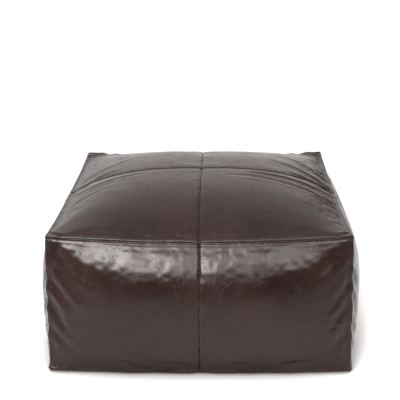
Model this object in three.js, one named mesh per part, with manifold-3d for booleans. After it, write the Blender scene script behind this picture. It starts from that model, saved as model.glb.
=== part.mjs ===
// A square leather floor pouf: sixteen square leather panels sewn edge to edge into a cover, a cotton liner
// in it, stuffing in the liner, and a zip across the base. Millimetres, +Z up, origin on the floor under the
// centre.
import * as THREE from "three";
import { mergeVertices } from "three/addons/utils/BufferGeometryUtils.js";
import Module from "manifold-3d";

const wasm = await Module();
wasm.setup();

// The cover, before and after it is stuffed.
const HALF = 375; // half the distance between two upper corners, and the finished side of a top or base panel
const CORNER_HEIGHT = 368; // height of the upper corners, and the finished height of a wall panel
const CROWN = 62; // how far the middle of the top stands above the corners
const EDGE_SAG = 16; // how far the middle of an upper edge hangs below the corners
const WALL_BULGE = 50; // how far the middle of a wall stands out
const WALL_PEAK = 0.5; // where up the wall the bulge is greatest
const BASE_BOW = 0.18; // the share of the bulge that is left at the base seam
const BASE_SPREAD = 8; // how far the base corners stand out past the upper ones
const BASE_EDGE_LIFT = 4; // height of the base seam above the floor
const ZIP_RECESS = 7; // how far the base is drawn up along the zip

// The sheets, each measured in from the outer skin.
const LEATHER = 1.5;
const SEAM_GAP = 0.3; // from each panel's edge to the seam's middle
const SEAM_ALLOWANCE = 6; // leather turned in at a seam
const LINER_DEPTH = 9.5;
const LINER = 1.2;
const FILLING_DEPTH = 11.2;

// The zip, which lies along X across the middle of the base.
const ZIP_EDGE = 5.5; // from the zip's middle to each leather edge
const ZIP_OPENING = 318; // from the middle to each end of the slit; past it the seam is sewn shut
const TAPE = { inner: 0.8, outer: 16, low: 9.0, high: 9.8, end: 332 };
const TEETH = { inner: 0.8, outer: 3.6, low: 6.9, high: 8.7, left: -306, right: 303, count: 50, root: 1.1 };
const STOP = { gap: 1.5, length: 3.5 };
const SLIDER = {
  x: 296, length: 13, width: 9.6, wall: 0.8, blade: 0.8, // at rest, with the zip shut
  outer: [5.3, 6.5], inner: [10.1, 11.3], lip: 8.5, // heights of its two plates and of the lips' tops
};
const BAIL = { length: 7, width: 3, low: 2.0, bar: 1.0 };
const PULL = { axis: 4.2, thick: 1.2, width: 7, rail: 1.3, window: 5, length: 26 };

// Where the sheets are divided, as distances from the middle, and as shares of the wall's height.
const ACROSS = [0, 25, 85, 150, 240, 318, 358, HALF];
const UP = [0, 0.08, 0.3, 0.55, 0.78, 0.93, 1].map((share) => share * CORNER_HEIGHT);
const BASE_ACROSS = [0, 25, 85, 150, 240, ZIP_OPENING, ZIP_OPENING + 6, 358, HALF];
const COARSE_ACROSS = [0, 25, 85, 225, 330, HALF];
const COARSE_UP = [0, 0.3, 0.7, 0.93, 1].map((share) => share * CORNER_HEIGHT);
const LIMITS = [[-HALF, HALF], [-HALF, HALF], [0, CORNER_HEIGHT]];
const CENTRE = new THREE.Vector3(0, 0, CORNER_HEIGHT / 2);

const leather = new THREE.MeshStandardMaterial({ color: 0x3b2e2b, roughness: 0.4, metalness: 0 });
const cotton = new THREE.MeshStandardMaterial({ color: 0xe6dfcf, roughness: 0.95, metalness: 0 });
const stuffing = new THREE.MeshStandardMaterial({ color: 0xf2efe6, roughness: 1, metalness: 0 });
const tapeCloth = new THREE.MeshStandardMaterial({ color: 0x2b211e, roughness: 0.9, metalness: 0 });
const nylon = new THREE.MeshStandardMaterial({ color: 0x241c1a, roughness: 0.5, metalness: 0 });
const brass = new THREE.MeshStandardMaterial({ color: 0x8a7440, roughness: 0.35, metalness: 1 });

const pouf = new THREE.Group();

function add(name, geometry, material) {
  const mesh = new THREE.Mesh(geometry, material);
  mesh.name = name;
  pouf.add(mesh);
}

const clamp = (value, low, high) => Math.min(Math.max(value, low), high);
const ramp = (value, low, high) => clamp((value - low) / (high - low), 0, 1);
const full = (t) => 1 - Math.abs(t) ** 3; // a stuffed sheet's profile between two seams

// A point of the empty box's surface, moved to where stuffing puts it.
function stuffed(x, y, z) {
  const a = x / HALF, b = y / HALF, up = z / CORNER_HEIGHT;
  const above = clamp((up - WALL_PEAK) / (1 - WALL_PEAK), 0, 1);
  const below = clamp((WALL_PEAK - up) / WALL_PEAK, 0, 1);
  const wall = WALL_BULGE * (1 - above ** 2.6 - (1 - BASE_BOW) * below ** 2.2);
  const spread = 1 + (BASE_SPREAD / HALF) * (1 - up);
  const dome = (CROWN + EDGE_SAG) * full(a) * full(b) - EDGE_SAG * (1 - a * a * b * b);
  const rim = BASE_EDGE_LIFT * ramp(Math.max(Math.abs(x), Math.abs(y)), ACROSS.at(-2), HALF);
  const recess = ZIP_RECESS * (1 - ramp(Math.abs(y), ACROSS[1], ACROSS[2]));
  return new THREE.Vector3(
    x * spread + a * wall * full(b),
    y * spread + b * wall * full(a),
    z + up * dome + (1 - up) ** 2 * Math.max(rim, recess),
  );
}

// Which way is in, at a point of the box's surface, in steps that keep a sheet's thickness where two or three
// faces meet.
function inward(...at) {
  const normals = [];
  for (let axis = 0; axis < 3; axis++) {
    const side = LIMITS[axis].indexOf(at[axis]);
    if (side < 0) continue;
    const edges = [1, 2].map((turn) => {
      const along = (axis + turn) % 3, low = [...at], high = [...at];
      low[along] = clamp(at[along] - 1, ...LIMITS[along]);
      high[along] = clamp(at[along] + 1, ...LIMITS[along]);
      return stuffed(...high).sub(stuffed(...low));
    });
    normals.push(edges[0].cross(edges[1]).normalize().multiplyScalar(side ? -1 : 1));
  }
  const mean = normals.reduce((sum, n) => sum.add(n), new THREE.Vector3()).normalize();
  return mean.divideScalar(Math.min(...normals.map((n) => n.dot(mean))));
}

const skin = (at, depth) => stuffed(...at).addScaledVector(inward(...at), depth);

// A closed block of cells whose corner (i, j, k) stands at place(i, j, k). Each four-sided cell of its surface
// is split along the diagonal that stands further out, so that sheets laid one in another keep their gaps.
function block(ni, nj, nk, place) {
  const box = new THREE.BoxGeometry(1, 1, 1, ni, nj, nk);
  const points = box.getAttribute("position");
  const point = (n) => new THREE.Vector3().fromBufferAttribute(points, n);
  for (let n = 0; n < points.count; n++) {
    const [i, j, k] = [[points.getX(n), ni], [points.getY(n), nj], [points.getZ(n), nk]]
      .map(([share, count]) => Math.round((share + 0.5) * count));
    points.setXYZ(n, ...place(i, j, k).toArray());
  }
  const index = [...box.index.array];
  for (let n = 0; n < index.length; n += 6) {
    const [a, b, d, , c] = index.slice(n, n + 6);
    const reach = (p, q) => point(p).lerp(point(q), 0.5).distanceTo(CENTRE);
    if (reach(a, c) > reach(b, d)) index.splice(n, 6, a, b, c, a, c, d);
  }
  box.setIndex(index);
  return facingOut(box);
}

// The same surface with shared corners merged, turned so that its faces point out.
function facingOut(geometry) {
  geometry.deleteAttribute("normal");
  geometry.deleteAttribute("uv");
  const merged = mergeVertices(geometry, 1e-3);
  const points = merged.getAttribute("position");
  const corner = (n) => new THREE.Vector3().fromBufferAttribute(points, merged.index.getX(n));
  let volume = 0;
  for (let n = 0; n < merged.index.count; n += 3) volume += corner(n).dot(corner(n + 1).cross(corner(n + 2)));
  if (volume < 0) merged.setIndex([...merged.index.array].reverse());
  return merged;
}

function solid(geometry) {
  const vertProperties = new Float32Array(geometry.getAttribute("position").array);
  const triVerts = new Uint32Array(geometry.index.array);
  return new wasm.Manifold(new wasm.Mesh({ numProp: 3, vertProperties, triVerts }));
}

function joined(geometries) {
  const mesh = geometries.map(solid).reduce((sum, next) => sum.add(next)).getMesh();
  const made = new THREE.BufferGeometry();
  made.setAttribute("position", new THREE.BufferAttribute(new Float32Array(mesh.vertProperties), 3));
  made.setIndex(new THREE.BufferAttribute(mesh.triVerts, 1));
  return made;
}

// One sheet on one face of the box. face is [axis, side]; spans are the two other axes, each with its stations.
// gaps(span, last, point) says how far an edge stops short of the seam's middle there.
function sheet(face, spans, gaps, depth, thickness) {
  const [[u, us], [v, vs]] = spans;
  const at = (i, j) => {
    const point = [0, 0, 0];
    point[face[0]] = LIMITS[face[0]][face[1]];
    point[u] = us[i];
    point[v] = vs[j];
    return point;
  };
  const trimmed = (i, j) => {
    const point = at(i, j), moved = [...point];
    spans.forEach(([axis, stations], span) => {
      const low = stations[0] + gaps(span, false, point);
      moved[axis] = clamp(point[axis], low, stations.at(-1) - gaps(span, true, point));
    });
    return moved;
  };
  const place = (i, j, deep) => stuffed(...trimmed(i, j)).addScaledVector(inward(...at(i, j)), deep);
  const plate = block(us.length - 1, vs.length - 1, 1, (i, j, k) => place(i, j, depth + k * thickness));
  return { plate, place, counts: [us.length - 1, vs.length - 1] };
}

// The strip of leather turned in along one edge of a panel, notched at both ends where seams cross.
function turnedEdge({ place, counts }, span, last) {
  const cells = counts[1 - span] - 2;
  const end = last ? counts[span] : 0, next = last ? end - 1 : 1;
  const pick = (n, edge) => (span ? [n, edge] : [edge, n]);
  return block(cells, 1, 1, (i, j, k) => {
    const n = i + 1;
    const deep = k ? SEAM_ALLOWANCE : LEATHER / 2;
    const foot = place(...pick(n, end), deep);
    const down = foot.clone().sub(place(...pick(n, end), 0)).normalize();
    const into = place(...pick(n, next), 0).sub(place(...pick(n, end), 0)).projectOnPlane(down).normalize();
    return foot.addScaledVector(into, j * LEATHER);
  });
}

// One leather panel with its seam allowances. The edge on the zip has none, because the tape holds it.
// zipEdge is "first" or "last" of the panel's second span.
function leatherPanel(name, face, spans, zipEdge) {
  const onZip = (span, last) => span === 1 && zipEdge === (last ? "last" : "first");
  const gaps = (span, last, point) =>
    onZip(span, last) && Math.abs(point[0]) <= ZIP_OPENING ? ZIP_EDGE : SEAM_GAP;
  const made = sheet(face, spans, gaps, 0, LEATHER);
  const turned = [[0, false], [0, true], [1, false], [1, true]].filter(([span, last]) => !onZip(span, last));
  add(name, joined([made.plate, ...turned.map(([span, last]) => turnedEdge(made, span, last))]), leather);
}

const minus = (stations) => stations.map((s) => -s).reverse();
const both = (stations) => [...minus(stations), ...stations.slice(1)];
const SIDES = { left: minus(ACROSS), right: ACROSS };
const BASE_SIDES = { left: minus(BASE_ACROSS), right: BASE_ACROSS };
const DEPTHS = { front: minus(ACROSS), back: ACROSS };

function topAndBasePanels() {
  for (const [depth, ys] of Object.entries(DEPTHS))
    for (const side of Object.keys(SIDES)) {
      const zipEdge = depth === "front" ? "last" : "first";
      leatherPanel(`top_panel_${depth}_${side}`, [2, 1], [[0, SIDES[side]], [1, ys]]);
      leatherPanel(`base_panel_${depth}_${side}`, [2, 0], [[0, BASE_SIDES[side]], [1, ys]], zipEdge);
    }
}

function wallPanels() {
  for (const [wall, side] of [["front", 0], ["back", 1]])
    for (const [half, xs] of Object.entries(SIDES))
      leatherPanel(`${wall}_wall_${half}`, [1, side], [[0, xs], [2, UP]]);
  for (const [wall, side] of [["left", 0], ["right", 1]])
    for (const [half, ys] of Object.entries(DEPTHS))
      leatherPanel(`${wall}_wall_${half}`, [0, side], [[1, ys], [2, UP]]);
}

function liner() {
  const wide = both(COARSE_ACROSS);
  const pieces = {
    liner_top: [[2, 1], [[0, wide], [1, wide]]],
    liner_base: [[2, 0], [[0, wide], [1, wide]]],
    liner_front: [[1, 0], [[0, wide], [2, COARSE_UP]]],
    liner_back: [[1, 1], [[0, wide], [2, COARSE_UP]]],
    liner_left: [[0, 0], [[1, wide], [2, COARSE_UP]]],
    liner_right: [[0, 1], [[1, wide], [2, COARSE_UP]]],
  };
  for (const [name, [face, spans]] of Object.entries(pieces))
    add(name, sheet(face, spans, () => SEAM_GAP, LINER_DEPTH, LINER).plate, cotton);
}

function filling() {
  const wide = both(COARSE_ACROSS), cells = wide.length - 1;
  const place = (i, j, k) => skin([wide[i], wide[j], COARSE_UP[k]], FILLING_DEPTH);
  add("filling", block(cells, cells, COARSE_UP.length - 1, place), stuffing);
}

// A box between two corners, in any order.
function box(from, to) {
  const size = to.map((t, n) => Math.abs(t - from[n]));
  return facingOut(new THREE.BoxGeometry(...size).translate(...to.map((t, n) => (t + from[n]) / 2)));
}

// One row of teeth: a spine along the tape's edge and a comb that points to the zip's middle.
function teeth(side) {
  const outline = new THREE.Shape([new THREE.Vector2(TEETH.left, TEETH.outer)]);
  const pitch = (TEETH.right - TEETH.left) / TEETH.count;
  const spine = TEETH.outer - TEETH.root;
  for (let n = 0; n < TEETH.count; n++) {
    const start = TEETH.left + n * pitch;
    outline.lineTo(start, TEETH.inner).lineTo(start + pitch / 2, TEETH.inner);
    outline.lineTo(start + pitch / 2, spine).lineTo(start + pitch, spine);
  }
  outline.lineTo(TEETH.right, TEETH.outer);
  const row = new THREE.ExtrudeGeometry(outline, { depth: TEETH.high - TEETH.low, bevelEnabled: false });
  return facingOut(row.scale(1, side, 1).translate(0, 0, TEETH.low));
}

function zip() {
  for (const [half, side] of [["front", -1], ["back", 1]]) {
    const top = TEETH.right + STOP.gap;
    const stop = box([top, side * TEETH.inner, TEETH.low], [top + STOP.length, side * TEETH.outer, TEETH.high]);
    const tape = box([-TAPE.end, side * TAPE.inner, TAPE.low], [TAPE.end, side * TAPE.outer, TAPE.high]);
    add(`zip_tape_${half}`, tape, tapeCloth);
    add(`zip_teeth_${half}`, teeth(side), nylon);
    add(`zip_top_stop_${half}`, stop, brass);
  }
  const end = TEETH.left - STOP.gap;
  const bottom = box([end - STOP.length, -TEETH.outer, TEETH.low], [end, TEETH.outer, TEETH.high]);
  add("zip_bottom_stop", bottom, brass);
}

// The slider: a plate on each side of the teeth, held together by a blade that runs between the two rows, lips
// that keep the rows in, and a bail under the outer plate for the pull.
function slider() {
  const { x, length, width, wall, outer, inner, lip, blade } = SLIDER;
  const back = x - length / 2, nose = x + length / 2, half = width / 2;
  const foot = BAIL.length / 2;
  const bite = 0.2; // how far the pieces of one casting run into each other
  add("zip_slider", joined([
    box([back, -half, outer[0]], [nose, half, outer[1]]),
    box([back, -half, inner[0]], [nose, half, inner[1]]),
    box([back, -half, outer[1] - bite], [nose, wall - half, lip]),
    box([back, half - wall, outer[1] - bite], [nose, half, lip]),
    box([nose - length / 2, -blade / 2, outer[1] - bite], [nose, blade / 2, inner[0] + bite]),
    box([x - foot, -BAIL.width / 2, BAIL.low], [x + foot, BAIL.width / 2, BAIL.low + BAIL.bar]),
    box([x - foot, -BAIL.width / 2, BAIL.low], [x - foot + BAIL.bar, BAIL.width / 2, outer[0] + bite]),
    box([x + foot - BAIL.bar, -BAIL.width / 2, BAIL.low], [x + foot, BAIL.width / 2, outer[0] + bite]),
  ]), brass);
}

// The pull: a flat tab with a window, whose end bar passes through the bail and is the hinge.
function pull() {
  const { axis, thick, width, rail, window, length } = PULL;
  const low = axis - thick / 2, high = axis + thick / 2, half = width / 2, bar = thick / 2;
  const back = (distance) => SLIDER.x - distance;
  add("zip_pull", joined([
    box([back(bar), -half, low], [back(-bar), half, high]),
    box([back(window + 1), -half, low], [back(0), rail - half, high]),
    box([back(window + 1), half - rail, low], [back(0), half, high]),
    box([back(length), -half, low], [back(window), half, high]),
  ]), brass);
}

topAndBasePanels();
wallPanels();
liner();
filling();
zip();
slider();
pull();

export default pouf;
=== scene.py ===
import math
import bpy
import numpy as np
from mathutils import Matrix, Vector


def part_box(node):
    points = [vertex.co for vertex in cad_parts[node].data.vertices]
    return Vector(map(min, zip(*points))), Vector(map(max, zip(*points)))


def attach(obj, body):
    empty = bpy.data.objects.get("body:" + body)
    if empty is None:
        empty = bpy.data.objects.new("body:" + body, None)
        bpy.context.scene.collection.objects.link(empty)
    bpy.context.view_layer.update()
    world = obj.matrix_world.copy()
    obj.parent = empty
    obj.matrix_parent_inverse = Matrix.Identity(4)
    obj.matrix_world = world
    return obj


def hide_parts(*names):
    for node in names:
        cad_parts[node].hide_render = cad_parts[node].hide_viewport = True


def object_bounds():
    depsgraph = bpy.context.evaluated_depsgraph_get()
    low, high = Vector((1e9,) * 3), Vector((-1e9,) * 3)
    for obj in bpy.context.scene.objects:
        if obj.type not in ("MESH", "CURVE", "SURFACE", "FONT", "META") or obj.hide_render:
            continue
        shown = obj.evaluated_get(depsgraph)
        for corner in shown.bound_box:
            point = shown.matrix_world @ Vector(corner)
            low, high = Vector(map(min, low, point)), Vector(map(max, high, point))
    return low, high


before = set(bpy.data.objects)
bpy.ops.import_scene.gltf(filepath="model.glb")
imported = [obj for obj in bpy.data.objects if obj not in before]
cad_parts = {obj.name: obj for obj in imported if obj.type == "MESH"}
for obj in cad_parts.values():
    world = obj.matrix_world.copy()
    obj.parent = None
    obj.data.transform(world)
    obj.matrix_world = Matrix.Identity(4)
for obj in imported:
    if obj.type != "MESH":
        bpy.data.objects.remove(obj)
cad_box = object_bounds()


# ---------------------------------------------------------------------------------------------------------
# The cover. Flat goat leather squares are sewn into a square box, turned right side out and stuffed hard,
# so its faces dome, its edges draw in, and the leather it no longer needs wrinkles along the seams.
# stuffed() gives the broad shape. The wrinkles come from a cloth simulation of the whole cover.

SEAM_GAP = 0.0003  # from a panel's edge to the middle of its seam
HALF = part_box("top_panel_back_right")[1].x + SEAM_GAP
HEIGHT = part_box("front_wall_left")[1].z + SEAM_GAP
CROWN = cad_box[1].z - HEIGHT
EDGE_SAG = 0.016  # how far the middle of an upper edge hangs
BULGE = 0.050  # how far the middle of a wall stands out
PEAK = 0.50  # where up the wall it stands out most
BASE_SHARE = 0.80  # how much of the bulge is gone at the base seam
BASE_SPREAD = 0.008  # how much further out the base seam sits than the top one
ZIP_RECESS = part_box("zip_tape_front")[0].z - 0.002  # how far the base is drawn up along the zip
RECESS_EDGES = (0.025, 0.085)  # how far from the zip the base starts and stops coming down again
BASE_LIFT = 0.004  # height of the base seam
BASE_TURN = 0.020  # how far in from the seam the base meets the floor
CUTS = 32  # cells of the simulated cloth across one panel
EASE = 1.05  # the cut panels' size over the finished box's
SMOOTHINGS = 44  # rounds of averaging that separate the broad swelling from the wrinkles
FRAMES = 18  # steps of the cloth simulation
WRINKLE = 0.9
SEAM_REACH = 0.05  # how far from a seam its wrinkles run
INNER_SHARE = 0.13  # how much of the wrinkles is left far from the seams
DEEPEST = 0.006  # the most that a wrinkle may move the leather


def ramp(value, low, high):
    """0 below low, 1 above high, and smooth in between."""
    t = np.clip((value - low) / (high - low), 0, 1)
    return t * t * (3 - 2 * t)


def full(t):
    """How much of its swelling a face has at a share t of the way from its middle to its edge."""
    return 1 - abs(t) ** 3


def stuffed(x, y, z):
    """Where stuffing takes points of the empty box's surface."""
    a, b, up = x / HALF, y / HALF, z / HEIGHT
    above = 1 - np.clip((1 - up) / (1 - PEAK), 0, 1)
    below = np.clip((PEAK - up) / PEAK, 0, 1)
    wall = BULGE * (1 - above**2.6 - BASE_SHARE * below**2.2)
    spread = 1 + BASE_SPREAD / HALF * (1 - up)
    dome = (CROWN + EDGE_SAG) * full(a) * full(b) - EDGE_SAG * (1 - a * a * b * b)
    far = np.maximum(abs(x), abs(y))
    lift = BASE_LIFT * ramp(far, HALF - BASE_TURN, HALF)
    recess = ZIP_RECESS * (1 - ramp(abs(y), *RECESS_EDGES))
    return np.stack([
        x * spread + a * wall * full(b),
        y * spread + b * wall * full(a),
        z + up * dome + (1 - up) ** 2 * np.maximum(lift, recess),
    ], -1)


def deselect_all():
    for other in bpy.context.selected_objects:
        other.select_set(False)


def coordinates(mesh):
    flat = np.empty(len(mesh.vertices) * 3, np.float32)
    mesh.vertices.foreach_get("co", flat)
    return flat.reshape(-1, 3).astype(float)


def set_coordinates(mesh, points):
    mesh.vertices.foreach_set("co", points.astype(np.float32).ravel())
    mesh.update()


def cut_across(piece, axis, cuts):
    """Cuts every edge that runs along one axis into that many equal lengths."""
    mesh = piece.data
    points = coordinates(mesh)
    bpy.ops.object.mode_set(mode="EDIT")
    bpy.ops.mesh.select_mode(type="EDGE")
    bpy.ops.mesh.select_all(action="DESELECT")
    bpy.ops.object.mode_set(mode="OBJECT")
    for edge in mesh.edges:
        start, end = edge.vertices
        edge.select = bool(abs(points[start][axis] - points[end][axis]) > 1e-5)
    bpy.ops.object.mode_set(mode="EDIT")
    bpy.ops.mesh.subdivide(number_cuts=cuts - 1)
    bpy.ops.object.mode_set(mode="OBJECT")


def box_of_cloth(name, across, up):
    """The empty box as one closed mesh, cut into a grid."""
    deselect_all()
    bpy.ops.mesh.primitive_cube_add(size=1)
    piece = bpy.context.object
    piece.name = piece.data.name = name
    bpy.ops.transform.resize(value=(2 * HALF, 2 * HALF, HEIGHT))
    bpy.ops.transform.translate(value=(0, 0, HEIGHT / 2))
    bpy.ops.object.transform_apply(location=True, rotation=True, scale=True)
    cut_across(piece, 2, up)
    cut_across(piece, 0, across)
    cut_across(piece, 1, across)
    return piece


def lumps(points, size, seed):
    """Smooth random heights from -1 to 1, with lumps of that size."""
    rng = np.random.default_rng(seed)
    lattice = rng.uniform(-1, 1, (32, 32, 32))
    place = points / size + rng.uniform(0, 32, 3)
    cell = np.floor(place).astype(int)
    share = ramp(place - cell, 0, 1)
    total = 0
    for corner in np.ndindex(2, 2, 2):
        at = (cell + corner) % 32
        weight = np.prod(np.where(corner, share, 1 - share), -1)
        total = total + weight * lattice[at[..., 0], at[..., 1], at[..., 2]]
    return total


def simulate_cover():
    """Blows the sewn cover up from its flat pattern. Gives each lattice point of the box its wrinkle."""
    wrinkles = np.zeros((2 * CUTS + 1, 2 * CUTS + 1, CUTS + 1, 3))
    cloth = box_of_cloth("cover_cloth", 2 * CUTS, CUTS)
    flat = coordinates(cloth.data)
    shape = stuffed(*flat.T)
    on_floor = flat[:, 2] < 1e-6
    start = shape + 0.002 * lumps(flat, 0.03, 5)[:, None] * ~on_floor[:, None]
    cloth.shape_key_add(name="stuffed")
    pattern = cloth.shape_key_add(name="pattern")
    pattern.data.foreach_set("co", (flat * EASE).astype(np.float32).ravel())
    cloth.data.shape_keys.key_blocks["stuffed"].data.foreach_set("co", start.astype(np.float32).ravel())
    set_coordinates(cloth.data, start)
    held = cloth.vertex_groups.new(name="on_floor")
    held.add([int(n) for n in np.nonzero(on_floor)[0]], 1.0, "ADD")
    modifier = cloth.modifiers.new("Cloth", "CLOTH")
    leather = modifier.settings
    leather.quality = 5
    leather.mass = 0.4
    leather.tension_stiffness = leather.compression_stiffness = 40
    leather.shear_stiffness = 20
    leather.bending_stiffness = 3
    leather.tension_damping = leather.compression_damping = leather.shear_damping = 25
    leather.bending_damping = 5
    leather.air_damping = 5
    leather.vertex_group_mass = held.name
    leather.rest_shape_key = pattern
    leather.use_pressure = True
    leather.uniform_pressure_force = 4
    leather.effector_weights.gravity = 0
    modifier.point_cache.frame_start, modifier.point_cache.frame_end = 1, FRAMES
    for number in range(1, FRAMES + 1):
        bpy.context.scene.frame_set(number)
    solved = cloth.evaluated_get(bpy.context.evaluated_depsgraph_get())
    swelling = coordinates(solved.data) - shape
    ends = np.empty(len(cloth.data.edges) * 2, np.int32)
    cloth.data.edges.foreach_get("vertices", ends)
    one, two = ends.reshape(-1, 2).T
    count = len(flat)
    neighbours = np.bincount(one, minlength=count) + np.bincount(two, minlength=count)
    broad = swelling.copy()
    for _ in range(SMOOTHINGS):
        for axis in range(3):
            value = broad[:, axis]
            total = np.bincount(one, value[two], count) + np.bincount(two, value[one], count)
            broad[:, axis] = (value + total) / (1 + neighbours)
    at = np.rint(flat / [HALF / CUTS, HALF / CUTS, HEIGHT / CUTS] + [CUTS, CUTS, 0]).astype(int)
    fine = (swelling - broad) * ~on_floor[:, None]
    wrinkles[at[:, 0], at[:, 1], at[:, 2]] = fine
    bpy.context.scene.frame_set(1)
    bpy.data.objects.remove(cloth)
    return wrinkles


WRINKLES = simulate_cover()


def sampled(grid, u, v):
    """A grid of vectors read between its points with a smooth cubic, at u and v counted in cells."""
    total = 0
    weights = []
    for place, size in ((u, grid.shape[0]), (v, grid.shape[1])):
        cell = np.clip(np.floor(place).astype(int), 0, size - 2)
        t = place - cell
        parts = [
            ((-t + 2) * t - 1) * t / 2,
            ((3 * t - 5) * t * t + 2) / 2,
            ((-3 * t + 4) * t + 1) * t / 2,
            (t - 1) * t * t / 2,
        ]
        weights.append([(np.clip(cell + n - 1, 0, size - 1), part) for n, part in enumerate(parts)])
    for i, across in weights[0]:
        for j, along in weights[1]:
            total = total + (across * along)[..., None] * grid[i, j]
    return total


# ---------------------------------------------------------------------------------------------------------
# Faces of the cover and the folds in them. A face is the axis it stands across and its side. Its points are
# given by the two other axes, in the flat box's metres.

FACES = {"top": (2, 1), "base": (2, 0), "front": (1, 0), "back": (1, 1), "left": (0, 0), "right": (0, 1)}
SPANS = {2: (0, 1), 1: (0, 2), 0: (1, 2)}
LOWEST = np.array([-HALF, -HALF, 0.0])
HIGHEST = np.array([HALF, HALF, HEIGHT])
ALLOWANCE_RIDGE = 0.0007  # how far the turned-in leather lifts the panel over it
STITCH_LINE = 0.0034  # from the seam's middle to its row of stitches


def on_box(face, u, v):
    """Flat coordinates of points of a face."""
    axis, side = FACES[face]
    point = np.zeros(u.shape + (3,))
    point[..., axis] = (LOWEST, HIGHEST)[side][axis]
    point[..., SPANS[axis][0]] = u
    point[..., SPANS[axis][1]] = v
    return point


def outward(face, u, v, shape=None):
    """Unit normals of the stuffed face."""
    axis, side = FACES[face]
    first, second = SPANS[axis]
    shape = shape or (lambda p, q: stuffed(*np.moveaxis(on_box(face, p, q), -1, 0)))
    step = 0.0008
    u1, u2 = np.maximum(u - step, LOWEST[first]), np.minimum(u + step, HIGHEST[first])
    v1, v2 = np.maximum(v - step, LOWEST[second]), np.minimum(v + step, HIGHEST[second])
    normal = np.cross(shape(u2, v) - shape(u1, v), shape(u, v2) - shape(u, v1))
    normal /= np.linalg.norm(normal, axis=-1, keepdims=True)
    turn = (1 if side else -1) * (-1 if axis == 1 else 1)
    return normal * turn


def crease(u, v, start, middle, end, width, height, ridge=0.55):
    """A fold along a bent line: a furrow with a soft ridge on each side, fading at its ends."""
    share = np.linspace(0, 1, 25)[:, None]
    start, middle, end = (np.array(p, float) for p in (start, middle, end))
    line = (1 - share) ** 2 * start + 2 * share * (1 - share) * middle + share**2 * end
    nearest = np.full(u.shape, 1e9)
    along = np.zeros(u.shape)
    for n in range(len(line) - 1):
        run = line[n + 1] - line[n]
        t = np.clip(((u - line[n][0]) * run[0] + (v - line[n][1]) * run[1]) / (run @ run), 0, 1)
        away = np.hypot(u - line[n][0] - t * run[0], v - line[n][1] - t * run[1])
        closer = away < nearest
        nearest = np.where(closer, away, nearest)
        along = np.where(closer, (n + t) / (len(line) - 1), along)
    far = nearest / width
    profile = -np.exp(-far**2) + ridge * np.exp(-((far - 1.7) ** 2))
    return height * profile * np.sin(math.pi * np.clip(along * 0.94 + 0.06, 0, 1)) ** 0.7


# Folds in the top, drawn from the middle of the face out to the edge that pulls them. Each is its start, its
# bend and its end, then its width and depth.
TOP_CREASES = [
    ((0.12, -0.035), (0.25, -0.040), (0.365, -0.062), 0.0065, 0.0026),
    ((0.08, -0.062), (0.24, -0.085), (0.366, -0.128), 0.0090, 0.0016),
    ((0.24, 0.030), (0.32, 0.010), (0.367, -0.030), 0.0050, 0.0024),
    ((0.20, 0.120), (0.31, 0.075), (0.368, 0.010), 0.0060, 0.0022),
    ((0.22, 0.210), (0.32, 0.150), (0.369, 0.075), 0.0070, 0.0020),
    ((0.30, -0.105), (0.34, -0.130), (0.368, -0.190), 0.0060, 0.0016),
    ((-0.16, -0.040), (-0.29, -0.045), (-0.366, -0.085), 0.0075, 0.0014),
    ((-0.22, 0.045), (-0.31, 0.025), (-0.367, -0.040), 0.0070, 0.0016),
    ((-0.20, 0.130), (-0.31, 0.090), (-0.368, 0.015), 0.0085, 0.0013),
    ((-0.25, -0.110), (-0.33, -0.140), (-0.367, -0.200), 0.0090, 0.0012),
    ((0.055, -0.369), (0.062, -0.310), (0.045, -0.255), 0.0110, 0.0022),
    ((-0.030, -0.368), (-0.045, -0.330), (-0.040, -0.290), 0.0080, 0.0014),
    ((0.105, -0.368), (0.100, -0.330), (0.115, -0.290), 0.0080, 0.0014),
]


def wall_folds(face, u, v):
    """Folds in a wall: in from each upper corner and upright seam, along the base, and one across."""
    total = np.zeros(u.shape)
    rng = np.random.default_rng(40 + list(FACES).index(face))
    for hand in (-1, 1):
        lean = rng.uniform(0.9, 1.15)
        start, middle = (HALF - 0.004, HEIGHT - 0.010), (HALF - 0.05, HEIGHT - 0.060)
        end = (HALF - 0.12 * lean, HEIGHT - 0.10 * lean)
        line = [(hand * across, up) for across, up in (start, middle, end)]
        total += crease(u, v, *line, 0.016, 0.0016)
        pulled = 1.0 if hand < 0 else 0.6
        for level, fall in ((0.265, 0.085), (0.205, 0.105), (0.120, 0.075)):
            rise = level + rng.uniform(-0.010, 0.010)
            reach = rng.uniform(0.050, 0.080)
            start, middle = (HALF - 0.002, rise), (HALF - reach * 0.4, rise - fall * 0.35)
            line = [(hand * across, up) for across, up in (start, middle, (HALF - reach, rise - fall))]
            total += crease(u, v, *line, 0.0105, 0.0026 * pulled, 0.8)
    for middle, slant in ((-0.17, 0.012), (-0.05, 0.008), (0.10, -0.008), (0.24, -0.010)):
        start, end = middle - rng.uniform(0.05, 0.08), middle + rng.uniform(0.05, 0.08)
        line = [(start, 0.036 + slant), (middle, 0.030), (end, 0.034 - slant)]
        total += crease(u, v, *line, 0.0120, 0.0030, 0.9)
    wave = 0.004 * np.sin(u * 23 + rng.uniform(0, 6)) + 0.002 * np.sin(u * 61)
    broken = ramp(lumps(on_box(face, u, v), 0.09, 17), -0.3, 0.4)
    total -= 0.0009 * np.exp(-(((v - 0.128 - wave) / 0.0035) ** 2)) * broken
    return total


def top_folds(u, v):
    """Folds in the top: the drawn creases, and a flat ear at each corner."""
    total = np.zeros(u.shape)
    for start, middle, end, width, depth in TOP_CREASES:
        total += crease(u, v, start, middle, end, width, depth)
    for hand in (-1, 1):
        for end in (-1, 1):
            size = 1.0 if end > 0 else 0.55
            ear = [(0.075 * size, 0.004), (0.045 * size, 0.030 * size), (0.004, 0.050 * size)]
            line = [(hand * (HALF - across), end * (HALF - along)) for across, along in ear]
            total += crease(u, v, *line, 0.010 * size, 0.0050 * size)
    return total


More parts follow.
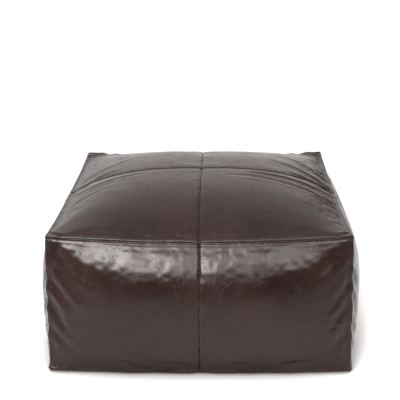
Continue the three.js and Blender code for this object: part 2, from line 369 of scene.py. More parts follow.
LIP = 0.0031  # how far the turned seam stands up along the top's edge
GROOVE = 0.0016  # how deep the wall dips just below it
TOP_VALLEY = 0.0022  # how deep the top's cross seams lie
WALL_VALLEY = 0.0026  # how deep a wall's middle seam lies
STITCH_PULL = 0.0011  # how far stitches draw the leather in
BASE_LIP = 0.0036  # how far the turned seam stands out along the base
TOP_CALM = 0.6  # how much of its simulated wrinkles a face keeps
WALL_CALM = 0.7


def skin(face, u, v):
    """Places of points on the outside of the finished cover."""
    axis, side = FACES[face]
    first, second = SPANS[axis]
    flat = on_box(face, u, v)
    grid = np.take(WRINKLES, -1 if side else 0, axis=axis)
    cells = [(q - LOWEST[n]) / (HALF if n < 2 else HEIGHT) * CUTS for n, q in ((first, u), (second, v))]
    sides = [HIGHEST[first] - u, u - LOWEST[first], HIGHEST[second] - v, v - LOWEST[second]]
    to_edge = np.minimum.reduce(sides)
    wrinkle = sampled(grid, *cells)
    size = np.linalg.norm(wrinkle, axis=-1, keepdims=True)
    wrinkle = wrinkle * DEEPEST / np.maximum(size, DEEPEST)
    strength = INNER_SHARE + (1 - INNER_SHARE) * np.exp(-to_edge / SEAM_REACH)
    strength = strength * WRINKLE * ramp(to_edge, -0.006, 0.02) * (TOP_CALM if face == "top" else WALL_CALM)
    place = stuffed(*np.moveaxis(flat, -1, 0)) + strength[..., None] * wrinkle
    if face == "base":
        return place
    height = np.zeros(u.shape)
    if face == "top":
        for away in (abs(u), abs(v)):
            height -= TOP_VALLEY * np.exp(-((away / 0.013) ** 2))
            height += ALLOWANCE_RIDGE * np.exp(-(((away - 0.0070) / 0.003) ** 2))
            height -= STITCH_PULL * np.exp(-(((away - STITCH_LINE) / 0.0010) ** 2))
        height += top_folds(u, v) + LIP * np.exp(-(((to_edge - 0.0036) / 0.0028) ** 2))
        seams = [abs(u), abs(v)]
    else:
        seams = [abs(u)]
        height -= WALL_VALLEY * np.exp(-((abs(u) / 0.0048) ** 2)) + 0.0012 * np.exp(-((abs(u) / 0.02) ** 2))
        height += wall_folds(face, u, v)
        height -= GROOVE * np.exp(-(((HEIGHT - v - 0.0050) / 0.0032) ** 2))
        height += BASE_LIP * np.exp(-(((v - 0.0080) / 0.0034) ** 2))
    near_seam = np.exp(-((np.minimum.reduce([to_edge, *seams]) / 0.016) ** 2))
    height += 0.0007 * near_seam * lumps(flat, 0.013, 11)
    height += 0.0006 * lumps(flat, 0.060, 12) + 0.00018 * lumps(flat, 0.024, 13)
    height *= ramp(to_edge, -0.0010, 0.0014)
    place = place + height[..., None] * outward(face, u, v)
    place[..., 2] = np.maximum(place[..., 2], 0.0004)
    return place


# ---------------------------------------------------------------------------------------------------------
# Leather panels. Each is a square of waxed goat leather 1.4 mm thick, sewn to its neighbours face to face
# and turned, so its edges roll in at the seam and 6 mm of it lies inside as an allowance.

LEATHER = 0.0014
ROLL = 0.0017  # radius at which an edge turns in
ALLOWANCE = 0.0058
CELL = 0.0034  # size of a panel's mesh cells
# Distances from an edge where the mesh is finer.
NEAR_EDGE = [0.0026, 0.0034, 0.0042, 0.0054, 0.0070, 0.0090, 0.0115]


def stations(low, high, zip_end=None):
    """Places across a panel, each with its depth, from turned-in edge to turned-in edge."""
    inner = [(SEAM_GAP + ROLL - ROLL * math.sin(t), ROLL - ROLL * math.cos(t))
             for t in np.radians([90, 68, 45, 22, 0])]
    edge = [(SEAM_GAP, ALLOWANCE), (SEAM_GAP, 0.0036)] + inner + [(q, 0.0) for q in NEAR_EDGE]
    if zip_end is None:
        starts = ends = edge
    else:
        folded = [(q + ZIP_EDGE - SEAM_GAP, min(depth, LEATHER)) for q, depth in edge[2:]]
        starts, ends = (folded, edge) if zip_end == "low" else (edge, folded)
    first, last = low + starts[-1][0], high - ends[-1][0]
    count = round((last - first) / CELL)
    middle = [(q, 0.0) for q in np.linspace(first, last, count + 1)[1:-1]]
    made = [(low + q, d) for q, d in starts] + middle + [(high - q, d) for q, d in reversed(ends)]
    return np.array(made).T


NEIGHBOURS = {0: ("left", "right"), 1: ("front", "back"), 2: ("base", "top")}


def seam_direction(face, u, v, edges):
    """The way a panel's edges roll in: square to the face, and midway between two faces at a corner."""
    down = -outward(face, u, v)
    for span, side, distance in edges:
        place = [u, v]
        place[span] = np.full(u.shape, (LOWEST, HIGHEST)[side][SPANS[FACES[face][0]][span]])
        flat = on_box(face, *place)
        other = NEIGHBOURS[SPANS[FACES[face][0]][span]][side]
        first, second = SPANS[FACES[other][0]]
        between = -(outward(face, *place) + outward(other, flat[..., first], flat[..., second]))
        between /= np.linalg.norm(between, axis=-1, keepdims=True)
        share = (1 - ramp(distance, SEAM_GAP, SEAM_GAP + 1.5 * ROLL))[..., None]
        down = down * (1 - share) + between * share
    return down / np.linalg.norm(down, axis=-1, keepdims=True)


def grid_mesh(name, columns, rows):
    """A flat grid of that many points, with the number of each vertex's column and row."""
    deselect_all()
    bpy.ops.mesh.primitive_grid_add(x_subdivisions=columns - 1, y_subdivisions=rows - 1, size=1)
    piece = bpy.context.object
    piece.name = piece.data.name = name
    flat = coordinates(piece.data)
    column = np.rint((flat[:, 0] + 0.5) * (columns - 1)).astype(int)
    row = np.rint((flat[:, 1] + 0.5) * (rows - 1)).astype(int)
    return piece, column, row


def finish_shell(piece, thickness):
    """Merges what the notched corners bring together, and gives the sheet its thickness."""
    bpy.context.view_layer.objects.active = piece
    bpy.ops.object.mode_set(mode="EDIT")
    bpy.ops.mesh.select_all(action="SELECT")
    bpy.ops.mesh.remove_doubles(threshold=0.00004)
    bpy.ops.mesh.dissolve_degenerate(threshold=0.00002)
    bpy.ops.object.mode_set(mode="OBJECT")
    solid = piece.modifiers.new("thickness", "SOLIDIFY")
    solid.thickness = thickness
    solid.offset = -1
    bpy.ops.object.modifier_apply(modifier=solid.name)
    bpy.ops.object.shade_smooth_by_angle(angle=math.radians(50))


ZIP_EDGE = 0.0055  # from the middle of the zip to each leather edge
ZIP_END = 0.300  # from the middle of the base to each end of the slit, on the flat panels


def leather_panel(name, face, low, high, zip_side=None):
    """One panel, on the part of a face between two corners."""
    spans = SPANS[FACES[face][0]]
    lines = [stations(low[n], high[n], zip_side if n == 1 else None) for n in (0, 1)]
    piece, column, row = grid_mesh(name, lines[0].shape[1], lines[1].shape[1])
    (us, u_depth), (vs, v_depth) = lines
    u, v = us[column], vs[row]
    depth = np.maximum(u_depth[column], v_depth[row])
    if zip_side:
        shut = ramp(abs(u), ZIP_END, ZIP_END + 0.006)
        sign = 1 if zip_side == "low" else -1
        closing = shut * (ZIP_EDGE - SEAM_GAP) * (1 - ramp(abs(v), ZIP_EDGE, 0.03))
        v = v - sign * closing
    edges = []
    for span, q in ((0, u), (1, v)):
        for side, limit in ((0, low[span]), (1, high[span])):
            if abs(limit - (LOWEST, HIGHEST)[side][spans[span]]) < 1e-6:
                edges.append((span, side, abs(q - limit)))
    place = skin(face, u, v) + depth[:, None] * seam_direction(face, u, v, edges)
    set_coordinates(piece.data, place)
    worn = piece.data.attributes.new("seam", "FLOAT", "POINT")
    near = np.minimum.reduce([u - low[0], high[0] - u, v - low[1], high[1] - v])
    worn.data.foreach_set("value", np.exp(-np.clip(near, 0, 1) / 0.008).astype(np.float32))
    axis, side = FACES[face]
    if (1 if side else -1) * (-1 if axis == 1 else 1) < 0:
        piece.data.flip_normals()
    finish_shell(piece, LEATHER)
    return piece


def panel_names():
    """Every panel: its face, its lower and upper corner on the face, and its side on the zip."""
    for depth, (y1, y2) in {"front": (-HALF, 0.0), "back": (0.0, HALF)}.items():
        for side, (x1, x2) in {"left": (-HALF, 0.0), "right": (0.0, HALF)}.items():
            yield f"top_panel_{depth}_{side}", "top", (x1, y1), (x2, y2), None
            on_zip = "high" if depth == "front" else "low"
            yield f"base_panel_{depth}_{side}", "base", (x1, y1), (x2, y2), on_zip
    for wall in ("front", "back", "left", "right"):
        halves = ("left", "right") if wall in ("front", "back") else ("front", "back")
        for half, (q1, q2) in zip(halves, ((-HALF, 0.0), (0.0, HALF))):
            yield f"{wall}_wall_{half}", wall, (q1, 0.0), (q2, HEIGHT), None


class Socket:
    """A node's output on which sums can be written as Python expressions."""

    def __init__(self, tree, output):
        self.tree, self.output = tree, output

    def made(self, kind, settings=None, **values):
        """Another node of the same tree: settings first, then the values or links of its sockets."""
        node = self.tree.nodes.new(kind)
        for setting, value in (settings or {}).items():
            setattr(node, setting, value)
        for socket, value in values.items():
            name = socket.replace("_", " ") if not socket.startswith("n") else int(socket[1:])
            target = node.inputs[name]
            if isinstance(value, Socket):
                self.tree.links.new(value.output, target)
            else:
                target.default_value = value
        return node

    def maths(self, operation, other=0.0, swapped=False):
        pair = (other, self) if swapped else (self, other)
        node = self.made("ShaderNodeMath", {"operation": operation}, n0=pair[0], n1=pair[1])
        return Socket(self.tree, node.outputs[0])

    def __add__(self, other):
        return self.maths("ADD", other)

    def __radd__(self, other):
        return self.maths("ADD", other, True)

    def __sub__(self, other):
        return self.maths("SUBTRACT", other)

    def __rsub__(self, other):
        return self.maths("SUBTRACT", other, True)

    def __mul__(self, other):
        return self.maths("MULTIPLY", other)

    def __rmul__(self, other):
        return self.maths("MULTIPLY", other, True)

    def between(self, low, high):
        """0 below low, 1 above high, and smooth in between."""
        smooth = {"interpolation_type": "SMOOTHSTEP"}
        node = self.made("ShaderNodeMapRange", smooth, n0=self, n1=low, n2=high)
        return Socket(self.tree, node.outputs[0])

    def mix(self, first, second):
        """A colour between two colours."""
        node = self.made("ShaderNodeMix", {"data_type": "RGBA"}, n0=self, n6=first, n7=second)
        return Socket(self.tree, node.outputs[2])


def new_material(name):
    """An empty material: its tree, its object coordinates and its Principled node."""
    material = bpy.data.materials.new(name)
    material.use_nodes = True
    tree = material.node_tree
    place = tree.nodes.new("ShaderNodeTexCoord")
    return material, Socket(tree, place.outputs["Object"]), tree.nodes["Principled BSDF"]


def noise(place, scale, detail=3.0, rough=0.5, warp=0.0):
    node = place.made("ShaderNodeTexNoise", Vector=place, Scale=scale, Detail=detail, Roughness=rough,
                      Distortion=warp)
    return Socket(place.tree, node.outputs["Fac"])


def cracks(place, scale, warp):
    """Distance from the borders of a net of irregular cells, in a place pushed about by a noise."""
    push = place.made("ShaderNodeTexNoise", Vector=place, Scale=scale * 0.6, Detail=2.0)
    pushes = Socket(place.tree, push.outputs["Color"])
    moved = place.made("ShaderNodeVectorMath", {"operation": "MULTIPLY_ADD"},
                       n0=pushes, n1=(warp, warp, warp), n2=place)
    net = place.made("ShaderNodeTexVoronoi", {"feature": "DISTANCE_TO_EDGE"},
                     Vector=Socket(place.tree, moved.outputs[0]), Scale=scale, Randomness=1.0)
    return Socket(place.tree, net.outputs["Distance"])


def bumped(height, distance, strength, under=None):
    values = {"Height": height, "Distance": distance, "Strength": strength}
    if under:
        values["Normal"] = under
    node = height.made("ShaderNodeBump", **values)
    return Socket(height.tree, node.outputs[0])


def leather_material():
    material, place, surface = new_material("waxed_brown_leather")
    tree = place.tree
    seam_node = place.made("ShaderNodeAttribute", {"attribute_name": "seam"})
    seam = Socket(tree, seam_node.outputs["Fac"])
    broad = noise(place, 5.0, 4.0)
    middling = noise(place, 30.0, 5.0, 0.65)
    coarse_net = cracks(place, 58.0, 0.030).between(0.0, 0.055)
    fine_net = cracks(place, 170.0, 0.008).between(0.0, 0.16)
    grain = noise(place, 750.0, 3.0, 0.6)
    crackled = noise(place, 17.0, 3.0, 0.6).between(0.44, 0.60)
    tone = (broad.between(0.3, 0.7) * 0.65 + middling.between(0.35, 0.7) * 0.35).mix(
        (0.0052, 0.0020, 0.0015, 1), (0.0100, 0.0042, 0.0033, 1))
    worn = (seam.between(0.45, 1.0) * 0.4).mix(tone, (0.0135, 0.0075, 0.0062, 1))
    crack = (1 - coarse_net) * crackled
    dark_lines = (crack * 0.6).mix(worn, (0.004, 0.002, 0.0016, 1))
    tree.links.new(dark_lines.output, surface.inputs["Base Color"])
    rough = 0.20 + broad.between(0.35, 0.65) * 0.05 + crack * 0.20 + middling.between(0.35, 0.7) * 0.07
    tree.links.new(rough.output, surface.inputs["Roughness"])
    surface.inputs["Specular IOR Level"].default_value = 0.22
    one = bumped(1 - crack, 0.00025, 0.28)
    two = bumped(fine_net * (0.3 + crackled * 0.7), 0.00012, 0.28, one)
    crinkled = noise(place, 75.0, 2.0, 0.5, 0.6)
    three = bumped(grain, 0.00008, 0.30, two)
    four = bumped(crinkled, 0.0012, 0.12, bumped(middling, 0.0016, 0.22, three))
    tree.links.new(four.output, surface.inputs["Normal"])
    return material


LEATHER_FINISH = leather_material()
for name, face, low, high, zip_side in panel_names():
    panel = leather_panel(name + "_leather", face, low, high, zip_side)
    panel.data.materials.append(LEATHER_FINISH)
    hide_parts(name)
    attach(panel, "pouf")
    cut = [EASE * (high[n] - low[n]) + 2 * ALLOWANCE for n in (0, 1)]


# ---------------------------------------------------------------------------------------------------------
# Top stitching. Waxed thread in short stitches: one row on each side of the seams that cross the top holds
# their allowances open, and one on each side of the slit in the base holds a zip tape.

STITCH = 0.0043
STITCH_GAP = 0.0011  # between a stitch and the next
THREAD = 0.00055  # the thread's radius
STITCH_SINK = 0.00012  # how far a stitch is pulled into the leather


def one_stitch():
    """A stitch along X: a short rounded bar whose ends dip into the leather."""
    deselect_all()
    bpy.ops.mesh.primitive_cylinder_add(vertices=6, radius=THREAD, depth=STITCH, end_fill_type="NGON",
                                        rotation=(0, math.pi / 2, 0))
    bar = bpy.context.object
    bpy.ops.object.transform_apply(rotation=True)
    bpy.ops.object.mode_set(mode="EDIT")
    bpy.ops.mesh.select_mode(type="FACE")
    bpy.ops.mesh.select_all(action="DESELECT")
    bpy.ops.object.mode_set(mode="OBJECT")
    for face in bar.data.polygons:
        face.select = abs(face.normal.x) > 0.9
    bpy.ops.object.mode_set(mode="EDIT")
    bpy.ops.mesh.inset(thickness=THREAD * 0.45, depth=THREAD * 0.3)
    bpy.ops.object.mode_set(mode="OBJECT")
    points = coordinates(bar.data)
    points[:, 2] -= 1.1 * THREAD * ramp(abs(points[:, 0]), STITCH * 0.3, STITCH * 0.55)
    faces = [list(face.vertices) for face in bar.data.polygons]
    bpy.data.objects.remove(bar)
    return points, faces


STITCH_POINTS, STITCH_FACES = one_stitch()


def stitch_row(face, line, reach):
    """Stitches on a face, along a line given as a function of the way along it in metres."""
    way = np.linspace(*reach, 600)
    run = skin(face, *line(way))
    length = np.concatenate([[0], np.cumsum(np.linalg.norm(np.diff(run, axis=0), axis=1))])
    count = int(length[-1] / (STITCH + STITCH_GAP))
    middles = np.interp((np.arange(count) + 0.5) / count * length[-1], length, way)
    u, v = line(middles)
    up = outward(face, u, v, lambda p, q: skin(face, p, q))
    ahead = skin(face, *line(middles + 0.001)) - skin(face, *line(middles - 0.001))
    ahead /= np.linalg.norm(ahead, axis=1, keepdims=True)
    side = np.cross(up, ahead)
    side /= np.linalg.norm(side, axis=1, keepdims=True)
    up = np.cross(ahead, side)
    seat = skin(face, u, v) + up * (THREAD * 0.5 - STITCH_SINK)
    frame_of = np.stack([ahead, side, up], 1)
    return seat[:, None] + np.einsum("pk,nkj->npj", STITCH_POINTS, frame_of)


def stitching(name, rows):
    """All the stitches of one seam as one piece."""
    places = np.concatenate(rows)
    size = len(STITCH_POINTS)
    points = places.reshape(-1, 3)
    faces = [[n * size + corner for corner in face] for n in range(len(places)) for face in STITCH_FACES]
    mesh = bpy.data.meshes.new(name)
    mesh.from_pydata(points.tolist(), [], faces)
    mesh.shade_smooth()
    piece = bpy.data.objects.new(name, mesh)
    bpy.context.scene.collection.objects.link(piece)
    mesh.materials.append(THREAD_FINISH)
    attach(piece, "pouf")
    return piece


def thread_material():
    material, place, surface = new_material("waxed_thread")
    twist = noise(place, 1400.0, 1.0)
    tone = twist.mix((0.006, 0.003, 0.0025, 1), (0.014, 0.008, 0.006, 1))
    place.tree.links.new(tone.output, surface.inputs["Base Color"])
    surface.inputs["Roughness"].default_value = 0.5
    place.tree.links.new(bumped(twist, 0.0002, 0.5).output, surface.inputs["Normal"])
    return material


THREAD_FINISH = thread_material()


def middle_rows(face, along, reach):
    """The rows on both sides of the seam in the middle of a face."""
    rows = []
    for hand in (-1, 1):
        if along == "v":
            rows.append(stitch_row(face, lambda q, h=hand: (np.full(q.shape, h * STITCH_LINE), q), reach))
        else:
            rows.append(stitch_row(face, lambda q, h=hand: (q, np.full(q.shape, h * STITCH_LINE)), reach))
    return rows


END = 0.004  # from a seam to the first stitch
for half, reach in {"front": (-HALF + END, -END), "back": (END, HALF - END)}.items():
    stitching(f"stitches_top_{half}", middle_rows("top", "v", reach))
for half, reach in {"left": (-HALF + END, -END), "right": (END, HALF - END)}.items():
    stitching(f"stitches_top_{half}", middle_rows("top", "u", reach))
ZIP_ROW = ZIP_EDGE + 0.0030  # from the middle of the zip to each row of stitches
for half, sign in {"front": -1, "back": 1}.items():
    zip_row = stitch_row("base", lambda q, y=sign * ZIP_ROW: (q, np.full(q.shape, y)), (-ZIP_END, ZIP_END))
    stitching(f"stitches_zip_{half}", [zip_row])


# ---------------------------------------------------------------------------------------------------------
# Liner. Plain unbleached cotton in six pieces, sewn as a box that holds the stuffing and goes into the
# cover through the zip. It lies 9.5 mm behind the outside of the leather.

LINER_DEPTH = 0.0095
LINER = 0.0011
LINER_CELLS = 64


def cotton_material():
    material, place, surface = new_material("unbleached_cotton")
    tree = place.tree
    weave = 1 - cracks(place, 900.0, 0.0002).between(0.0, 0.3)
    slub = noise(place, 60.0, 4.0, 0.6)
    tone = (slub.between(0.3, 0.75) * 0.8 + weave * 0.2).mix((0.74, 0.68, 0.56, 1), (0.84, 0.80, 0.70, 1))
    tree.links.new(tone.output, surface.inputs["Base Color"])
    surface.inputs["Roughness"].default_value = 0.95
    tree.links.new(bumped(weave, 0.0003, 0.5, bumped(slub, 0.001, 0.3)).output, surface.inputs["Normal"])
    return material


COTTON = cotton_material()


def liner_piece(face):
    first, second = SPANS[FACES[face][0]]
    count = LINER_CELLS + 1
    lines = [np.linspace(LOWEST[n] + SEAM_GAP, HIGHEST[n] - SEAM_GAP, count) for n in (first, second)]
    piece, column, row = grid_mesh(f"liner_{face}_cotton", count, count)
    u, v = lines[0][column], lines[1][row]
    edges = [(span, side, abs(q - (LOWEST, HIGHEST)[side][n]))
             for span, (n, q) in enumerate(((first, u), (second, v))) for side in (0, 1)]
    down = seam_direction(face, u, v, edges)
    square = -outward(face, u, v)
    stretch = 1 / np.maximum((down * square).sum(-1, keepdims=True), 0.5)
    set_coordinates(piece.data, skin(face, u, v) + LINER_DEPTH * stretch * down)
    axis, side = FACES[face]
    if (1 if side else -1) * (-1 if axis == 1 else 1) < 0:
        piece.data.flip_normals()
    finish_shell(piece, LINER)
    piece.data.materials.append(COTTON)
    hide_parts(f"liner_{face}")
    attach(piece, "pouf")


for face in FACES:
    liner_piece(face)


# ---------------------------------------------------------------------------------------------------------
# Stuffing. Loose cotton and wool waste, packed into the liner until it is hard.

STUFFING_INSET = 0.017  # how far the stuffing lies behind the outside of the leather


def stuffing():
    piece = box_of_cloth("packed_stuffing", 56, 28)
    place = stuffed(*coordinates(piece.data).T)
    middle = np.array([0, 0, cad_box[1].z / 2])
    reach = np.array([cad_box[1].x, cad_box[1].y, cad_box[1].z / 2])
    tufts = 0.0022 * lumps(place, 0.035, 31) + 0.0010 * lumps(place, 0.013, 32)
    away = place - middle
    away = away * (1 - STUFFING_INSET / reach)
    set_coordinates(piece.data, middle + away * (1 + tufts[:, None]))
    piece.data.shade_smooth()
    material, where, surface = new_material("cotton_and_wool_waste")
    tufted = noise(where, 110.0, 5.0, 0.65, 1.5)
    tone = tufted.between(0.3, 0.7).mix((0.66, 0.62, 0.54, 1), (0.90, 0.88, 0.82, 1))
    where.tree.links.new(tone.output, surface.inputs["Base Color"])
    surface.inputs["Roughness"].default_value = 1.0
    where.tree.links.new(bumped(tufted, 0.004, 0.8).output, surface.inputs["Normal"])
    piece.data.materials.append(material)
    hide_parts("filling")
    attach(piece, "pouf")


stuffing()


# ---------------------------------------------------------------------------------------------------------
# Zip. Woven tapes sewn behind the leather's edges, moulded nylon teeth clamped along them, brass stops, and
# a cast brass slider whose pull turns in a bail. It is shut at rest, with the slider at its right end.


def tape_material():
    material, place, surface = new_material("woven_tape")
    tree = place.tree
    parts = place.made("ShaderNodeSeparateXYZ", Vector=place)
    x, y = Socket(tree, parts.outputs["X"]), Socket(tree, parts.outputs["Y"])
    twill = (x * 5200.0 + y * 2600.0).maths("SINE") * 0.5 + 0.5
    ribs = (y * 9000.0).maths("SINE") * 0.5 + 0.5
    tone = (twill * 0.6 + ribs * 0.4).mix((0.012, 0.009, 0.007, 1), (0.038, 0.028, 0.022, 1))
    tree.links.new(tone.output, surface.inputs["Base Color"])
    surface.inputs["Roughness"].default_value = 0.85
    tree.links.new(bumped(twill * 0.6 + ribs * 0.4, 0.0002, 0.6).output, surface.inputs["Normal"])
    return material


def nylon_material():
    material, place, surface = new_material("moulded_nylon")
    mottled = noise(place, 700.0, 3.0)
    tone = mottled.mix((0.014, 0.010, 0.008, 1), (0.030, 0.022, 0.018, 1))
    place.tree.links.new(tone.output, surface.inputs["Base Color"])
    place.tree.links.new((mottled * 0.2 + 0.32).output, surface.inputs["Roughness"])
    place.tree.links.new(bumped(mottled, 0.0001, 0.3).output, surface.inputs["Normal"])
    return material


def brass_material():
    material, place, surface = new_material("antique_brass")
    stain = noise(place, 240.0, 5.0, 0.65)
    scratches = noise(place, 1500.0, 2.0)
    tone = stain.between(0.35, 0.7).mix((0.16, 0.105, 0.045, 1), (0.52, 0.38, 0.17, 1))
    place.tree.links.new(tone.output, surface.inputs["Base Color"])
    place.tree.links.new((stain * 0.3 + 0.22).output, surface.inputs["Roughness"])
    surface.inputs["Metallic"].default_value = 1.0
    place.tree.links.new(bumped(scratches, 0.00008, 0.4).output, surface.inputs["Normal"])
    return material


TAPE, NYLON, BRASS = tape_material(), nylon_material(), brass_material()


def zip_tape(half):
    """One tape: a flat woven strip, a little wavy between its two rows of stitches."""
    low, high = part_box(f"zip_tape_{half}")
    thick = high.z - low.z
    piece, column, row = grid_mesh(f"zip_tape_{half}_woven", 161, 9)
    x = np.linspace(low.x, high.x, 161)[column]
    y = np.linspace(low.y, high.y, 9)[row]
    inner = abs(y) - min(abs(low.y), abs(high.y))
    wave = 0.00012 * np.sin(x * 410) * np.sin(x * 57) * ramp(inner, 0.002, 0.006)
    set_coordinates(piece.data, np.stack([x, y, high.z + wave - 0.00012 * (inner > 0)], -1))
    finish_shell(piece, thick)
    piece.data.materials.append(TAPE)
    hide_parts(f"zip_tape_{half}")
    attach(piece, "pouf")


zip_tape("front")
zip_tape("back")


def rounded_box(name, low, high, bevel, segments=2):
    """A box between two corners with its edges rounded over."""
    deselect_all()
    bpy.ops.mesh.primitive_cube_add(size=1)
    piece = bpy.context.object
    piece.name = piece.data.name = name
    low, high = np.array(low), np.array(high)
    set_coordinates(piece.data, coordinates(piece.data) * (high - low) + (high + low) / 2)
    bpy.ops.object.mode_set(mode="EDIT")
    bpy.ops.mesh.select_all(action="SELECT")
    bpy.ops.mesh.bevel(offset=bevel, segments=segments, affect="EDGES")
    bpy.ops.object.mode_set(mode="OBJECT")
    return piece


def joined(name, pieces):
    deselect_all()
    for piece in pieces:
        piece.select_set(True)
    bpy.context.view_layer.objects.active = pieces[0]
    bpy.ops.object.join()
    pieces[0].name = pieces[0].data.name = name
    bpy.ops.object.shade_smooth_by_angle(angle=math.radians(40))
    return pieces[0]


TOOTH_PITCH = 0.0034


def zip_teeth(half, hand):
    """One row of teeth: a foot clamped on the tape's edge and a head that reaches for the zip's middle."""
    low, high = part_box(f"zip_teeth_{half}")
    outer = max(abs(low.y), abs(high.y))
    thick = high.z - low.z
    foot = rounded_box("foot", (-0.00085, 0.0018, 0), (0.00085, outer, thick), 0.0003, 1)
    head = rounded_box("head", (-0.00120, 0.00060, 0.0002), (0.00120, 0.0021, thick - 0.0002), 0.0004, 1)
    tooth = joined("tooth", [foot, head])
    shape, faces = coordinates(tooth.data), [list(face.vertices) for face in tooth.data.polygons]
    bpy.data.objects.remove(tooth)
    count = int((high.x - low.x) / TOOTH_PITCH) - 1
    shift = 0.3 if hand < 0 else 0.8
    places = low.x + (np.arange(count) + shift) * TOOTH_PITCH
    shape = shape * [1, hand, 1] + [0, 0, low.z]
    if hand < 0:
        faces = [face[::-1] for face in faces]
    points = np.concatenate([shape + [x, 0, 0] for x in places])
    mesh = bpy.data.meshes.new(f"zip_teeth_{half}_nylon")
    every_face = [[n * len(shape) + corner for corner in face] for n in range(count) for face in faces]
    mesh.from_pydata(points.tolist(), [], every_face)
    piece = bpy.data.objects.new(mesh.name, mesh)
    bpy.context.scene.collection.objects.link(piece)
    mesh.materials.append(NYLON)
    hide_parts(f"zip_teeth_{half}")
    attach(piece, "pouf")


zip_teeth("front", -1)
zip_teeth("back", 1)

for stop in ("zip_top_stop_front", "zip_top_stop_back", "zip_bottom_stop"):
    clip = rounded_box(f"{stop}_brass", *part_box(stop), 0.0005, 3)
    clip.data.shade_smooth()
    clip.data.materials.append(BRASS)
    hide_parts(stop)
    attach(clip, "pouf")


def zip_slider():
    """The slider: two waisted plates, a blade between them, lips that hold the rows in, and the bail."""
    low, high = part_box("zip_slider")
    middle = (low.x + high.x) / 2
    plate, lip = 0.0012, 0.0008
    outer_low, outer_high = high.z - 0.0060, high.z - 0.0048
    parts = [
        rounded_box("outer", (low.x, low.y, outer_low), (high.x, high.y, outer_high), 0.00045, 3),
        rounded_box("inner", (low.x, low.y, high.z - plate), (high.x, high.y, high.z), 0.00045, 3),
        rounded_box("blade", (middle, -0.0004, outer_high - 0.0002),
                    (high.x - 0.0004, 0.0004, high.z - plate + 0.0002), 0.0001, 1),
    ]
    for hand in (-1, 1):
        y = sorted((hand * high.y, hand * (high.y - lip)))
        parts.append(rounded_box("lip", (low.x + 0.0005, y[0], outer_high - 0.0003),
                                 (high.x - 0.0005, y[1], outer_high + 0.0020), 0.00025, 2))
    for piece in parts[:2]:
        points = coordinates(piece.data)
        share = (points[:, 0] - low.x) / (high.x - low.x)
        points[:, 1] *= 1 - 0.16 * np.sin(math.pi * np.clip(share * 1.5 - 0.1, 0, 1)) ** 2
        set_coordinates(piece.data, points)
    foot, wide, bar = 0.0035, 0.0015, 0.0010
    for x in (middle - foot, middle + foot - bar):
        parts.append(rounded_box("bail", (x, -wide, low.z), (x + bar, wide, outer_low + 0.0002), 0.0003, 2))
    ends = (middle - foot, -wide, low.z), (middle + foot, wide, low.z + bar)
    parts.append(rounded_box("bail", *ends, 0.0003, 2))
    slider = joined("zip_slider_brass", parts)
    slider.data.materials.append(BRASS)
    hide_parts("zip_slider")
    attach(slider, "zip_slider")


zip_slider()


def zip_pull():
    """The pull: a flat tab, waisted at its window, whose end bar turns inside the bail."""
    low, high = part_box("zip_pull")
    rail, bar, window = 0.0013, 0.0012, 0.0056
    parts = [rounded_box("bar", (high.x - bar, low.y, low.z), high, 0.0004, 3)]
    for hand in (-1, 1):
        y = sorted((hand * high.y, hand * (high.y - rail)))
        parts.append(rounded_box("rail", (high.x - window - 0.0009, y[0], low.z + 0.0001),
                                 (high.x - 0.0003, y[1], high.z - 0.0001), 0.00035, 2))
    tab = rounded_box("tab", (low.x, low.y, low.z), (high.x - window, high.y, high.z), 0.0005, 3)
    points = coordinates(tab.data)
    share = (points[:, 0] - low.x) / (high.x - window - low.x)
    points[:, 1] *= 0.72 + 0.28 * np.cos(math.pi * np.clip(share, 0, 1)) ** 2
    set_coordinates(tab.data, points)
    pull = joined("zip_pull_brass", parts + [tab])
    pull.data.materials.append(BRASS)
    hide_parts("zip_pull")
    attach(pull, "zip_pull")


zip_pull()


# ---------------------------------------------------------------------------------------------------------
# The studio. A pale floor, painted greyer toward the camera as painted shade that dims its reflection in the
# leather, with a faint painted glow behind the pouf and a painted contact shadow where an edge meets it, and
# screens all round, brightest at the back. In front are two softboxes, the left one stronger, under a strip
# light.

PAINTED_SHADE_FRONT = (0.36, 0.36, 0.36, 1)  # painted shade: the floor greyed toward the camera, which dims its reflection in the leather
PALE_FLOOR = (0.68, 0.68, 0.68, 1)
PAINTED_CONTACT_SHADOW = (0.20, 0.20, 0.20, 1)  # painted contact shadow on the floor right under an edge
FAINT_PAINTED_GLOW = (0.15, 0.15, 0.15, 1)  # the floor's painted glow under the pouf, and far behind it
FULL_PAINTED_GLOW = (1, 1, 1, 1)
WARM_WHITE = (1.0, 0.965, 0.95, 1)
SCREEN_TOP = (0.48, 0.85)  # heights between which the screens give way to the ceiling
BACK_SCREEN = 1.25
FRONT_SCREEN = 0.15
SIDE_SHADE = 1.15  # how much darker it is behind to the right
CEILING = 1.25

deselect_all()
bpy.ops.mesh.primitive_plane_add(size=60, location=(0, 0, -0.0005))
floor = bpy.context.object
floor.name = "floor"
paint, spot, painted = new_material("white_floor")
# Painted contact shadow: ambient occlusion darkens the floor's colour where an edge of the pouf meets it.
shade = spot.made("ShaderNodeAmbientOcclusion", Distance=0.10)
spread = spot.made("ShaderNodeSeparateXYZ", Vector=spot)
# Painted shade: the floor is painted greyer toward the camera so that the leather reflects less light from
# it.
toward_back = Socket(spot.tree, spread.outputs["Y"]).between(-1.45, -0.72)
floor_with_painted_front_shade = toward_back.mix(PAINTED_SHADE_FRONT, PALE_FLOOR)
floor_with_painted_shadow = Socket(spot.tree, shade.outputs["AO"]).between(0.30, 1.0).mix(PAINTED_CONTACT_SHADOW, floor_with_painted_front_shade)
paint.node_tree.links.new(floor_with_painted_shadow.output, painted.inputs["Base Color"])
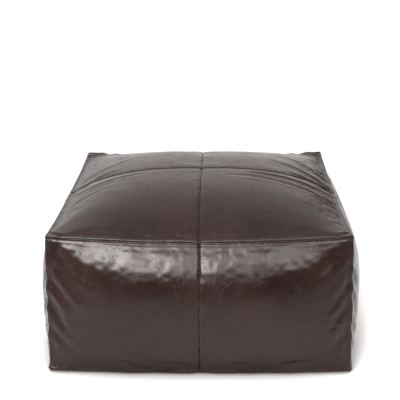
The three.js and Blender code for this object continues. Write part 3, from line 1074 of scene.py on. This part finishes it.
# Painted glow: the floor emits light, faintly near the pouf and more strongly toward the back.
far_painted_glow = Socket(spot.tree, spread.outputs["Y"]).between(0.2, 4.0).mix(FAINT_PAINTED_GLOW, FULL_PAINTED_GLOW)
paint.node_tree.links.new(far_painted_glow.output, painted.inputs["Emission Color"])
painted.inputs["Emission Strength"].default_value = 0.42
painted.inputs["Roughness"].default_value = 0.9
painted.inputs["Specular IOR Level"].default_value = 0.1
floor.data.materials.append(paint)


def surround():
    """Screens, bright behind the pouf and dim in front of it, that give way to a ceiling."""
    world = bpy.data.worlds.new("surround")
    bpy.context.scene.world = world
    world.use_nodes = True
    tree = world.node_tree
    seat = tree.nodes.new("ShaderNodeTexCoord")
    way = Socket(tree, seat.outputs["Generated"])
    parts = way.made("ShaderNodeSeparateXYZ", Vector=way)
    back, rise = Socket(tree, parts.outputs["Y"]), Socket(tree, parts.outputs["Z"])
    screens = 1 - rise.between(*SCREEN_TOP)
    behind = back.between(-0.3, 0.5)
    beside = Socket(tree, parts.outputs["X"]).between(0.22, 0.42) * behind * SIDE_SHADE
    screen = (FRONT_SCREEN - CEILING) + behind * (BACK_SCREEN - FRONT_SCREEN) - beside
    bright = CEILING + screens * screen
    tree.links.new(bright.output, tree.nodes["Background"].inputs["Strength"])
    tree.nodes["Background"].inputs["Color"].default_value = WARM_WHITE


surround()


def softbox(name, place, aim, size, power):
    light = bpy.data.lights.new(name, "AREA")
    light.shape = "RECTANGLE"
    light.size, light.size_y = size
    light.energy = power
    light.spread = math.radians(70)
    light.color = WARM_WHITE[:3]
    holder = bpy.data.objects.new(name, light)
    bpy.context.scene.collection.objects.link(holder)
    holder.location = place
    toward = np.array(aim, float) - np.array(place, float)
    holder.rotation_euler = Vector(toward).to_track_quat("-Z", "Y").to_euler()


softbox("left_softbox", (-0.90, -2.25, 1.65), (0, 0, 0.25), (1.6, 1.3), 34)
softbox("right_softbox", (1.15, -2.25, 1.65), (0, 0, 0.25), (2.2, 1.3), 19)
softbox("overhead_strip", (0, -1.2, 2.6), (0, -0.35, 0.35), (3.0, 0.8), 10)

VIEW_LENS = 79.5
camera_data = bpy.data.cameras.new("camera")
camera_data.lens = VIEW_LENS
camera = bpy.data.objects.new("camera", camera_data)
camera.location = (0.054, -2.371, 1.141)
camera.rotation_euler = (math.radians(71.2), math.radians(0.5), math.radians(1.26))
bpy.context.scene.collection.objects.link(camera)
bpy.context.scene.camera = camera
bpy.context.scene.view_settings.view_transform = "Standard"
